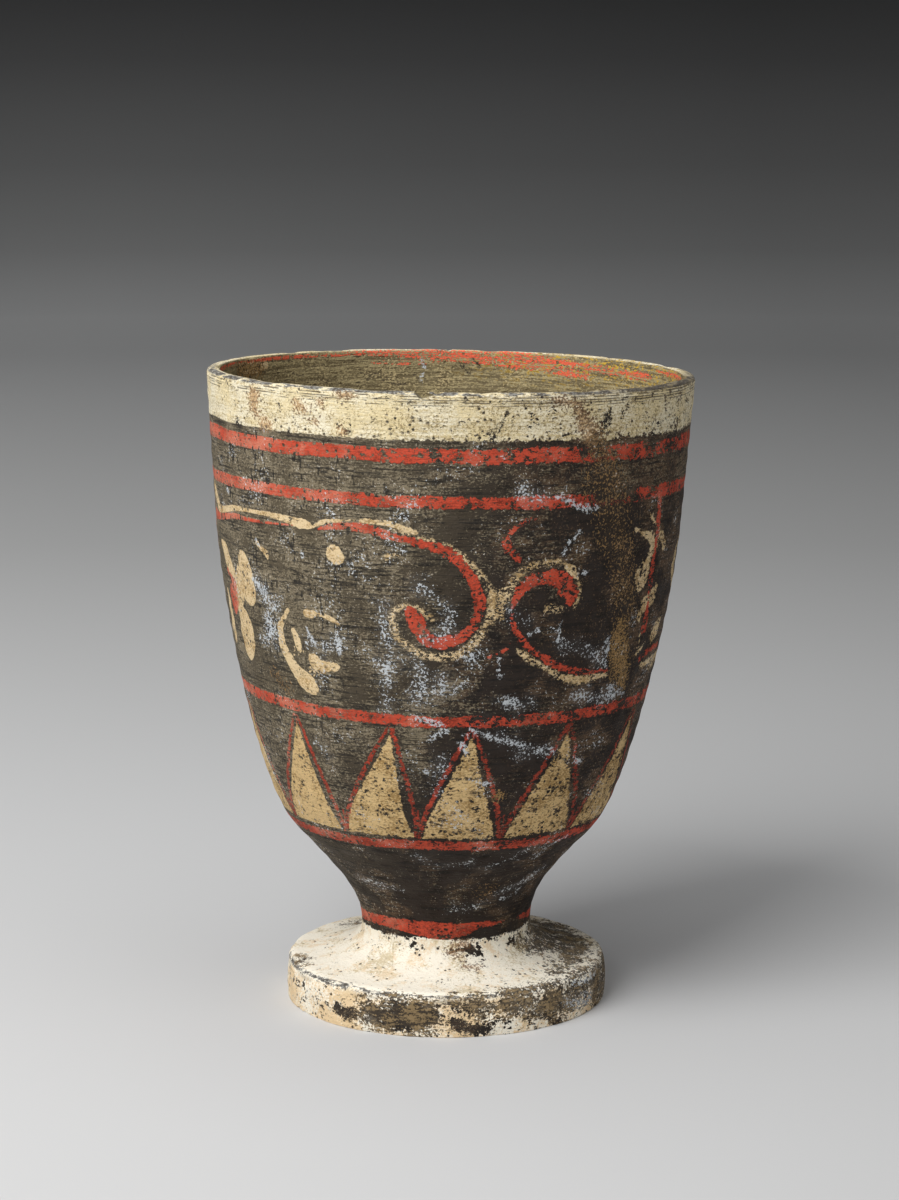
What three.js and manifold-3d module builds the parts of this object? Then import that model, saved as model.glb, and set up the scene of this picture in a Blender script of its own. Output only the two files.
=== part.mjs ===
// Painted earthenware goblet: a deep cup with a flaring wall, a short solid stem and a spreading disc foot,
// thrown on the wheel as one piece. Millimetres, +Z up. The origin is the middle of the flat underside.

import * as THREE from 'three';
import { mergeVertices } from 'three/addons/utils/BufferGeometryUtils.js';
import Module from 'manifold-3d';

// Foot: a thick disc with a slightly swollen side and a worn shoulder, and a cove that sweeps up to the stem.
const footRadius = 35.55;
const footHeight = 9.6;
const footSideBulge = 0.25;
const soleRound = 0.4;
const shoulderRound = 2.1;
const coveRun = 8.2;
const coveRise = 6.1;

// Stem: its narrowest place is where the cove ends and the throat of the cup begins.
const stemRadius = 18.7;
const stemPull = 4.4;

// Cup, outside. Each rise is measured from the top of the stretch below it.
const throatRise = 18.3;
const throatPull = 13.4;
const coneFootRadius = 28.05;
const coneRise = 5.75;
const coneTopRadius = 33.4;
const conePull = 10.6;
const wallRise = 69.05;
const wallRadius = 50.65;
const wallPull = 21.9;
const rimRise = 30.2;
const rimRadius = 52.7;

// Cup, inside: the wall grows thicker from the lip down to the rounded floor.
const lipThickness = 2.9;
const baseThickness = 6.2;
const floorDip = 4.2;
const floorPull = 4.2;
const floorFlat = 12;

// Lip: rounded, with its highest line nearer the inner edge. The share is of the lip's thickness, from outside.
const lipOuterDrop = 1.15;
const lipInnerDrop = 0.55;
const lipCrestShare = 0.6;

// The cup settled a little to +X on its stem before it was fired, turning about a point on the axis.
const leanAngle = THREE.MathUtils.degToRad(1.04);
const leanPivotRise = 61.3;

// Chips. The azimuth turns from the front (-Y) towards +X. Width runs along the edge, depth goes down or up
// into the clay, reach goes to either side of the edge and tilt tips the scar along the edge.
const rimChips = [
  { azimuth: -6.3, width: 4.4, depth: 1.5, reach: 4.5, tilt: 12 },
  { azimuth: -3.2, width: 3.6, depth: 0.6, reach: 2.6, tilt: -6 },
  { azimuth: 180.6, width: 2.2, depth: 0.8, reach: 2.2, tilt: 0 },
];
const soleChips = [
  { azimuth: -66, width: 2.6, depth: 0.8, reach: 1.3, tilt: 0 },
  { azimuth: 147, width: 4.4, depth: 1.1, reach: 1.8, tilt: 0 },
];

// Fineness of the facets.
const turns = 56;
const fineSteps = 3;
const bendSteps = 7;
const wallSteps = 12;

// Heights that follow from the rises.
const stemHeight = footHeight + coveRise;
const coneFootHeight = stemHeight + throatRise;
const coneTopHeight = coneFootHeight + coneRise;
const wallHeight = coneTopHeight + wallRise;
const rimHeight = wallHeight + rimRise;

const clay = new THREE.MeshStandardMaterial({ color: 0x4a443c, roughness: 0.92, metalness: 0 });

const at = (radius, height) => new THREE.Vector2(radius, height);

// The control point that carries a straight run from other to end on past its end.
const past = (end, other, pull) => end.clone().sub(other).setLength(pull).add(end);

// A Bezier stretch as points, without its first one, which the stretch before it has given.
function sweep(points, steps) {
  const Curve = points.length === 4 ? THREE.CubicBezierCurve : THREE.QuadraticBezierCurve;
  return new Curve(...points).getPoints(steps).slice(1);
}

// The sole, the side and the rounded shoulder of the foot, from the axis outwards.
function footOutline() {
  const soleEdge = at(footRadius - soleRound, 0);
  const sideFoot = at(footRadius - footSideBulge, soleRound);
  const sideTop = at(footRadius - footSideBulge, footHeight - shoulderRound);
  const sideMiddle = at(footRadius + footSideBulge, (sideFoot.y + sideTop.y) / 2);
  const shoulderEnd = at(footRadius - shoulderRound, footHeight);
  return [
    at(0, 0),
    soleEdge,
    ...sweep([soleEdge, at(sideFoot.x, 0), sideFoot], fineSteps),
    ...sweep([sideFoot, sideMiddle, sideTop], fineSteps),
    ...sweep([sideTop, at(sideTop.x, footHeight), shoulderEnd], fineSteps),
  ];
}

// The cove from the foot's shoulder up to the stem.
function coveOutline() {
  const shoulderEnd = at(footRadius - shoulderRound, footHeight);
  const leaving = at(shoulderEnd.x - coveRun, footHeight);
  const arriving = at(stemRadius, stemHeight - coveRise / 2);
  return sweep([shoulderEnd, leaving, arriving, at(stemRadius, stemHeight)], bendSteps);
}

// The throat of the cup, from the stem to the foot of the cone.
function throatOutline() {
  const stem = at(stemRadius, stemHeight);
  const coneFoot = at(coneFootRadius, coneFootHeight);
  const coneTop = at(coneTopRadius, coneTopHeight);
  const leaving = at(stemRadius, stemHeight + stemPull);
  return sweep([stem, leaving, past(coneFoot, coneTop, throatPull), coneFoot], bendSteps);
}

// The hollow part of the cup, outside: the cone, the rounded shoulder and the long wall up to the lip.
function wallOutline() {
  const coneFoot = at(coneFootRadius, coneFootHeight);
  const coneTop = at(coneTopRadius, coneTopHeight);
  const wallTop = at(wallRadius, wallHeight);
  const leaving = past(coneTop, coneFoot, conePull);
  const arriving = past(wallTop, at(rimRadius, rimHeight), wallPull);
  const lipEdge = at(rimRadius, rimHeight - lipOuterDrop);
  return [coneFoot, coneTop, ...sweep([coneTop, leaving, arriving, wallTop], wallSteps), lipEdge];
}

// The same line moved into the clay, square to the surface, by the thickness of the wall at each height.
function insideLine(outside) {
  return outside.map((point, i) => {
    const below = outside[Math.max(i - 1, 0)];
    const above = outside[Math.min(i + 1, outside.length - 1)];
    const along = above.clone().sub(below).normalize();
    const share = (point.y - coneFootHeight) / (rimHeight - coneFootHeight);
    const thickness = THREE.MathUtils.lerp(baseThickness, lipThickness, share);
    return point.clone().add(at(-along.y, along.x).multiplyScalar(thickness));
  });
}

// The rounded lip, from the outer edge over the crest to the inner edge.
function lipOutline(outerEdge, innerEdge) {
  const crest = at(rimRadius - lipThickness * lipCrestShare, rimHeight);
  return [
    ...sweep([outerEdge, at(outerEdge.x, rimHeight), crest], fineSteps),
    ...sweep([crest, at(innerEdge.x, rimHeight), innerEdge], fineSteps),
  ];
}

// The rounded floor of the cup, from the foot of its inner wall to the axis.
function floorOutline(wallFoot, wallNext) {
  const floorHeight = wallFoot.y - floorDip;
  const leaving = past(wallFoot, wallNext, floorPull);
  return sweep([wallFoot, leaving, at(floorFlat, floorHeight), at(0, floorHeight)], bendSteps);
}

function gobletOutline() {
  const outside = wallOutline();
  const inside = insideLine(outside);
  const lipEdge = outside[outside.length - 1];
  const innerEdge = inside.pop().set(rimRadius - lipThickness, rimHeight - lipInnerDrop);
  return [
    ...footOutline(),
    ...coveOutline(),
    ...throatOutline(),
    ...outside.slice(1),
    ...lipOutline(lipEdge, innerEdge),
    ...inside.toReversed(),
    ...floorOutline(inside[0], inside[1]),
  ];
}

// The cup leans as a stiff whole, and the lean fades in between the stem and the top of the cone.
function lean(geometry) {
  const pivot = new THREE.Vector3(0, 0, stemHeight + leanPivotRise);
  const axis = new THREE.Vector3(0, 1, 0);
  const position = geometry.getAttribute('position');
  const point = new THREE.Vector3();
  for (let i = 0; i < position.count; i++) {
    point.fromBufferAttribute(position, i);
    const share = THREE.MathUtils.smoothstep(point.z, stemHeight, coneTopHeight);
    point.sub(pivot).applyAxisAngle(axis, share * leanAngle).add(pivot);
    position.setXYZ(i, point.x, point.y, point.z);
  }
  return geometry;
}

function turnedGoblet() {
  const geometry = new THREE.LatheGeometry(gobletOutline(), turns);
  geometry.rotateX(Math.PI / 2);
  return lean(geometry);
}

// A chip leaves a V-shaped scar, cut by an eight-sided flake laid across the edge that it broke from.
function flake(chip, radius, height) {
  const geometry = new THREE.OctahedronGeometry(1);
  geometry.scale(chip.width / 2, chip.reach, chip.depth);
  geometry.rotateY(THREE.MathUtils.degToRad(chip.tilt));
  geometry.translate(0, -radius, height);
  geometry.rotateZ(THREE.MathUtils.degToRad(chip.azimuth));
  return lean(geometry);
}

const wasm = await Module();
wasm.setup();

// A closed geometry as a solid. Shared vertices are merged, and the empty triangles at the poles are left out.
function toSolid(geometry) {
  const bare = geometry.clone();
  bare.deleteAttribute('normal');
  bare.deleteAttribute('uv');
  const merged = mergeVertices(bare);
  const index = merged.getIndex().array;
  const triangles = [];
  for (let i = 0; i < index.length; i += 3) {
    const [a, b, c] = [index[i], index[i + 1], index[i + 2]];
    if (a !== b && b !== c && c !== a) triangles.push(a, b, c);
  }
  return new wasm.Manifold(new wasm.Mesh({
    numProp: 3,
    vertProperties: new Float32Array(merged.getAttribute('position').array),
    triVerts: new Uint32Array(triangles),
  }));
}

function toGeometry(solid) {
  const mesh = solid.getMesh();
  const geometry = new THREE.BufferGeometry();
  geometry.setAttribute('position', new THREE.BufferAttribute(mesh.vertProperties, 3));
  geometry.setIndex(new THREE.BufferAttribute(mesh.triVerts, 1));
  geometry.computeVertexNormals();
  return geometry;
}

function chippedGoblet() {
  const rimScars = rimChips.map((chip) => flake(chip, rimRadius - lipThickness / 2, rimHeight));
  const soleScars = soleChips.map((chip) => flake(chip, footRadius, 0));
  const whole = toSolid(turnedGoblet());
  return toGeometry([...rimScars, ...soleScars].reduce((solid, scar) => solid.subtract(toSolid(scar)), whole));
}

const goblet = new THREE.Mesh(chippedGoblet(), clay);
goblet.name = 'goblet';

const group = new THREE.Group();
group.add(goblet);

export default group;
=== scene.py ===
import math

import bmesh
import bpy
import numpy as np
from mathutils import Matrix, Vector, noise
from mathutils.geometry import interpolate_bezier


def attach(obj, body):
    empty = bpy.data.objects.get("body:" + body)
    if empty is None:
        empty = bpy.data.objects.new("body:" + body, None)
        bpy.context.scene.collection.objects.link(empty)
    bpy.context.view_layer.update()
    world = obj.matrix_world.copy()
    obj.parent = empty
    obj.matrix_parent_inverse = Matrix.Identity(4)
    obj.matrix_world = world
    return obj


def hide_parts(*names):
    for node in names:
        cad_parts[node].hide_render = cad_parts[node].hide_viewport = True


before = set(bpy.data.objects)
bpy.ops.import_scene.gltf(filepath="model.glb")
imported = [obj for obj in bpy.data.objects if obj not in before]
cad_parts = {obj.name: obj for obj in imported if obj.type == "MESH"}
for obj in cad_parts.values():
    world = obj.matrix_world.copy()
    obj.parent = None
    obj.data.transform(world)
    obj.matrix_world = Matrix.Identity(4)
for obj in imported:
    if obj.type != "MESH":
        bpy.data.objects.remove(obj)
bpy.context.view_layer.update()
perMetre = 1000  # shapes and patterns are worked out in millimetres


# sRGB hex to the linear colour that the nodes want
def linear(hexColour):
    parts = [int(hexColour[i:i + 2], 16) / 255 for i in (1, 3, 5)]
    return [*(p / 12.92 if p <= 0.04045 else ((p + 0.055) / 1.055) ** 2.4 for p in parts), 1]


# Adds a node. A socket goes by its name or number and takes a value, a socket or another node's first output.
def addNode(tree, kind, sockets, **settings):
    made = tree.nodes.new("ShaderNode" + kind)
    for name, value in settings.items():
        setattr(made, name, value)
    for key, value in sockets.items():
        named = (s for s in made.inputs if s.enabled and s.name == key)
        socket = made.inputs[key] if isinstance(key, int) else next(named)
        if isinstance(value, bpy.types.Node):
            value = next(s for s in value.outputs if s.enabled)
        if isinstance(value, bpy.types.NodeSocket):
            tree.links.new(value, socket)
        else:
            socket.default_value = value
    return made


gobletForm = {
    "footRadius": 35.55, "footHeight": 9.6, "footSideBulge": 0.25, "soleRound": 0.4, "shoulderRound": 2.1,
    "coveRun": 8.2, "coveRise": 6.1, "stemRadius": 18.7, "stemPull": 4.4,
    "throatRise": 18.3, "throatPull": 13.4,
    "coneFootRadius": 28.05, "coneRise": 5.75, "coneTopRadius": 33.4, "conePull": 10.6,
    "wallRise": 69.05, "wallRadius": 50.65, "wallPull": 21.9, "rimRise": 30.2, "rimRadius": 52.7,
    "lipThickness": 2.9, "baseThickness": 6.2, "floorDip": 4.2, "floorPull": 4.2, "floorFlat": 12,
    "lipOuterDrop": 1.15, "lipInnerDrop": 0.55, "lipCrestShare": 0.6,
    "leanDegrees": 1.04, "leanPivotRise": 61.3,
    "turns": 304,  # facets round the wheel
    # spacing of the rows: sole, its edge, foot, throat, painted wall, lip, inner wall and cup floor
    "soleRows": 4, "edgeRows": 0.3, "footRows": 0.7, "throatRows": 0.9,
    "wallRows": 0.78, "lipRows": 0.28, "innerRows": 2, "floorRows": 2.6,
    "soleFlat": 33, "edgeFrom": 34.6, "edgeHeight": 0.6, "throatFrom": 16, "lipFrom": 135,
    "fineStep": 0.2, "mergeGap": 0.002,
}


def at(radius, height):
    return Vector((radius, 0, height))


# The control point that carries a straight run from other to end on past its end
def past(end, other, pull):
    return end + (end - other).normalized() * pull


# A finely stepped Bezier stretch, without its first point
def bend(*points):
    if len(points) == 3:
        start, middle, end = points
        points = (start, start.lerp(middle, 2 / 3), end.lerp(middle, 2 / 3), end)
    return interpolate_bezier(*points, 80)[1:]


# The outside from the sole's middle up to the outer edge of the lip, in two stretches, and the rim's height
def outsideLine(form):
    stemHeight = form["footHeight"] + form["coveRise"]
    coneFoot = at(form["coneFootRadius"], stemHeight + form["throatRise"])
    coneTop = at(form["coneTopRadius"], coneFoot.z + form["coneRise"])
    wallTop = at(form["wallRadius"], coneTop.z + form["wallRise"])
    rim = at(form["rimRadius"], wallTop.z + form["rimRise"])
    side = form["footRadius"] - form["footSideBulge"]
    sideTop = at(side, form["footHeight"] - form["shoulderRound"])
    sideMiddle = at(form["footRadius"] + form["footSideBulge"], (form["soleRound"] + sideTop.z) / 2)
    soleEdge = at(form["footRadius"] - form["soleRound"], 0)
    shoulder = at(form["footRadius"] - form["shoulderRound"], form["footHeight"])
    coveStart = at(shoulder.x - form["coveRun"], shoulder.z)
    stem = at(form["stemRadius"], stemHeight)
    throatEnd = past(coneFoot, coneTop, form["throatPull"])
    wallStart = past(coneTop, coneFoot, form["conePull"])
    foot = [
        at(0, 0),
        soleEdge,
        *bend(soleEdge, at(side, 0), at(side, form["soleRound"])),
        *bend(at(side, form["soleRound"]), sideMiddle, sideTop),
        *bend(sideTop, at(side, form["footHeight"]), shoulder),
        *bend(shoulder, coveStart, at(stem.x, stem.z - form["coveRise"] / 2), stem),
        *bend(stem, at(stem.x, stem.z + form["stemPull"]), throatEnd, coneFoot),
    ]
    wall = [
        coneTop,
        *bend(coneTop, wallStart, past(wallTop, rim, form["wallPull"]), wallTop),
        at(rim.x, rim.z - form["lipOuterDrop"]),
    ]
    return foot, wall, rim.z


# The whole closed outline: outside, over the lip and down the inside to the middle of the cup's floor
def gobletLine(form):
    foot, wall, rimHeight = outsideLine(form)
    hollow = [foot[-1], *wall]
    inner = []
    for i, point in enumerate(hollow):
        along = (hollow[min(i + 1, len(hollow) - 1)] - hollow[max(i - 1, 0)]).normalized()
        share = (point.z - hollow[0].z) / (rimHeight - hollow[0].z)
        thickness = form["baseThickness"] + (form["lipThickness"] - form["baseThickness"]) * share
        inner.append(point + Vector((-along.z, 0, along.x)) * thickness)
    lipEdge = wall[-1]
    innerEdge = at(form["rimRadius"] - form["lipThickness"], rimHeight - form["lipInnerDrop"])
    inner[-1] = innerEdge
    crest = at(form["rimRadius"] - form["lipThickness"] * form["lipCrestShare"], rimHeight)
    lip = [
        *bend(lipEdge, at(lipEdge.x, rimHeight), crest),
        *bend(crest, at(innerEdge.x, rimHeight), innerEdge),
    ]
    floorHeight = inner[0].z - form["floorDip"]
    leaving = past(inner[0], inner[1], form["floorPull"])
    floor = bend(inner[0], leaving, at(form["floorFlat"], floorHeight), at(0, floorHeight))
    return foot, wall, lip, inner[-2::-1], floor


# How far apart the rows lie at a place on the outline
def rowSpacing(form, stretch, here):
    if stretch in ("wall", "inner") and here.z > form["lipFrom"]:
        return form["lipRows"]
    if stretch != "foot":
        return form[stretch + "Rows"]
    if here.x > form["edgeFrom"] and here.z < form["edgeHeight"]:
        return form["edgeRows"]
    if here.z == 0 and here.x < form["soleFlat"]:
        return form["soleRows"]
    return form["footRows"] if here.z < form["throatFrom"] else form["throatRows"]


# The outline as rows for the wheel, packed close where edges and painted lines need it
def gobletRows(form):
    foot, wall, lip, inner, floor = gobletLine(form)
    line = []
    spacing = []
    for stretch, name in ((foot, "foot"), (wall, "wall"), (lip, "lip"), (inner, "inner"), (floor, "floor")):
        for point in stretch:
            start = line[-1] if line else point
            parts = max(1, math.ceil((point - start).length / form["fineStep"]))
            for k in range(1, parts + 1):
                here = start.lerp(point, k / parts)
                line.append(here)
                spacing.append(rowSpacing(form, name, here))
    line = np.array(line)[:, [0, 2]]
    steps = np.hypot(*np.diff(line, axis=0).T)
    run = np.concatenate([[0], np.cumsum(steps)])
    load = np.concatenate([[0], np.cumsum(steps / np.array(spacing[1:]))])
    places = np.interp(np.linspace(0, load[-1], round(load[-1]) + 1), load, run)
    crest = run[np.argmax(line[:, 1])]
    return {
        "radius": np.interp(places, run, line[:, 0]),
        "height": np.interp(places, run, line[:, 1]),
        "run": places,
        "crest": crest,
    }


def throwGoblet(form, rows):
    bm = bmesh.new()
    verts = [bm.verts.new((radius, 0, height)) for radius, height in zip(rows["radius"], rows["height"])]
    edges = [bm.edges.new(pair) for pair in zip(verts[:-1], verts[1:])]
    turn = {"cent": (0, 0, 0), "axis": (0, 0, 1), "angle": 2 * math.pi}
    bmesh.ops.spin(bm, geom=verts + edges, **turn, steps=form["turns"], use_merge=True)
    bmesh.ops.remove_doubles(bm, verts=bm.verts, dist=form["mergeGap"])
    bmesh.ops.recalc_face_normals(bm, faces=bm.faces)
    return bm


# Soft unevenness: Perlin noise of the given size in millimetres at every point
def unevenness(points, size, seed):
    shift = Vector((seed * 17.3, seed * 5.1, seed * 9.7))
    return np.array([noise.noise(Vector(p) / size + shift) for p in points])


# Where each vertex lies on the turned form: azimuth from the front, radius, height and way along the outline
def placeOnForm(points, rows):
    radius = np.hypot(points[:, 0], points[:, 1])
    nearest = np.empty(len(points), int)
    gap = np.empty(len(points))
    batch = 8000  # vertices at a time, to spare memory
    for start in range(0, len(points), batch):
        part = slice(start, start + batch)
        away = (radius[part, None] - rows["radius"]) ** 2 + (points[part, 2, None] - rows["height"]) ** 2
        nearest[part] = away.argmin(1)
        gap[part] = np.sqrt(away.min(1))
    return {
        "azimuth": np.degrees(np.arctan2(points[:, 0], -points[:, 1])),
        "radius": radius,
        "height": points[:, 2],
        "run": rows["run"][nearest],
        "gap": gap,
        "inside": rows["run"][nearest] > rows["crest"],
    }


def smoothStep(low, high, value):
    share = np.clip((value - low) / (high - low), 0, 1)
    return share * share * (3 - 2 * share)


relief = {
    "throwingRidges": 0.05, "innerRidges": 0.13, "dents": 0.12,
    "finePitch": 0.66, "broadPitch": 1.17, "ridgesFrom": 20, "ridgesTo": 134,
    "broadSize": 26, "middleSize": 7, "smallSize": 2.6,  # sizes of the unevenness
    "footTop": 17, "footSideTop": 8, "shoulderRadius": 34.6, "shoulderHeight": 8.8,
    "crestFrom": 138.2, "crestTo": 139,
    "rimLines": [(138.15, 0.16, 0.22), (137.1, 0.12, 0.24), (136.3, 0.08, 0.22)],  # height, depth, width
    "lipWear": 0.22, "shoulderWear": 0.35, "footFlaking": 0.22,
}


# Throwing ridges, the fine turned lines under the lip, and the wear of the lip and the foot
def addRelief(bm, rows, values):
    bm.verts.ensure_lookup_table()
    points = np.array([v.co[:] for v in bm.verts])
    spots = placeOnForm(points, rows)
    z, inside = spots["height"], spots["inside"]
    resting = z < 0.001  # the sole stays flat
    wall = ~inside & (z > values["footTop"])
    foot = ~inside & (z <= values["footTop"]) & ~resting
    broad = unevenness(points, values["broadSize"], 1)
    middle = unevenness(points, values["middleSize"], 2)
    small = unevenness(points, values["smallSize"], 3)
    shift = broad * values["dents"] * (wall | inside)
    ridges = np.sin(z / values["finePitch"] + middle * 1.5)
    ridges += 0.6 * np.sin(z / values["broadPitch"] + broad * 4)
    ridged = (z > values["ridgesFrom"]) & (z < values["ridgesTo"])
    shift += np.where(inside, values["innerRidges"], values["throwingRidges"]) * ridges * ridged
    for height, depth, width in values["rimLines"]:
        broken = smoothStep(-0.25, 0.05, middle + 0.1)
        shift -= depth * broken * np.exp(-((z - height - 0.12 * broad) / width) ** 2) * ~inside
    flaked = smoothStep(0.02, 0.2, middle * 0.8 + small * 0.35) * values["footFlaking"]
    shift -= flaked * (foot & (z < values["footSideTop"]))
    away = (spots["radius"] - values["shoulderRadius"]) ** 2 + (z - values["shoulderHeight"]) ** 2
    shoulder = np.exp(-away / 1.6)
    shift -= shoulder * values["shoulderWear"] * (0.5 + middle) * foot
    normals = np.array([v.normal[:] for v in bm.verts])
    moved = points + normals * np.where(resting, 0, shift)[:, None]
    lip = smoothStep(values["crestFrom"], values["crestTo"], z)
    moved[:, 2] -= lip * values["lipWear"] * smoothStep(-0.1, 0.5, middle + small * 0.5)
    for vert, place in zip(bm.verts, moved):
        vert.co = place


# A chip's azimuth turns from the front towards +X. Width runs along the edge, reach to either side, and depth
# into the clay.
chips = [
    {"azimuth": -6.3, "width": 5.2, "depth": 1.8, "reach": 4.5, "tilt": 12, "edge": "rim"},
    {"azimuth": -3.2, "width": 3.6, "depth": 0.6, "reach": 2.6, "tilt": -6, "edge": "rim"},
    {"azimuth": 180.6, "width": 2.2, "depth": 0.8, "reach": 2.2, "tilt": 0, "edge": "rim"},
    {"azimuth": -66, "width": 2.6, "depth": 0.8, "reach": 1.3, "tilt": 0, "edge": "sole"},
    {"azimuth": 147, "width": 4.4, "depth": 1.1, "reach": 1.8, "tilt": 0, "edge": "sole"},
]


# Rough flakes of the size of each scar, as one object for a Boolean
def makeFlakes(form, scars):
    rimHeight = outsideLine(form)[2]
    edges = {
        "rim": (form["rimRadius"] - form["lipThickness"] / 2, rimHeight),
        "sole": (form["footRadius"], 0),
    }
    bm = bmesh.new()
    for number, chip in enumerate(scars):
        made = bmesh.ops.create_icosphere(bm, subdivisions=3, radius=1)["verts"]
        radius, height = edges[chip["edge"]]
        for vert in made:
            blunt = sum(abs(c) for c in vert.co) ** 0.8  # a struck scar is between a ball and an octahedron
            uneven = noise.noise(vert.co * 2.6 + Vector((number * 7, 0, 0)))
            vert.co *= (1 + 0.09 * uneven) / blunt
        place = (
            Matrix.Rotation(math.radians(chip["azimuth"]), 4, "Z")
            @ Matrix.Translation((0, -radius, height))
            @ Matrix.Rotation(math.radians(chip["tilt"]), 4, "Y")
            @ Matrix.Diagonal((chip["width"] / 2 * 1.08, chip["reach"], chip["depth"] * 1.05, 1))
        )
        bmesh.ops.transform(bm, matrix=place, verts=made)
    mesh = bpy.data.meshes.new("flakes")
    bm.to_mesh(mesh)
    bm.free()
    return bpy.data.objects.new("flakes", mesh)


def chipGoblet(goblet, flakes):
    scene = bpy.context.scene
    for made in (goblet, flakes):
        scene.collection.objects.link(made)
    cut = goblet.modifiers.new("scars", "BOOLEAN")
    cut.operation = "DIFFERENCE"
    cut.solver = "MANIFOLD"
    cut.object = flakes
    whole = goblet.evaluated_get(bpy.context.evaluated_depsgraph_get())
    chipped = bpy.data.meshes.new_from_object(whole)
    goblet.modifiers.clear()
    goblet.data = chipped
    bpy.data.objects.remove(flakes)


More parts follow.
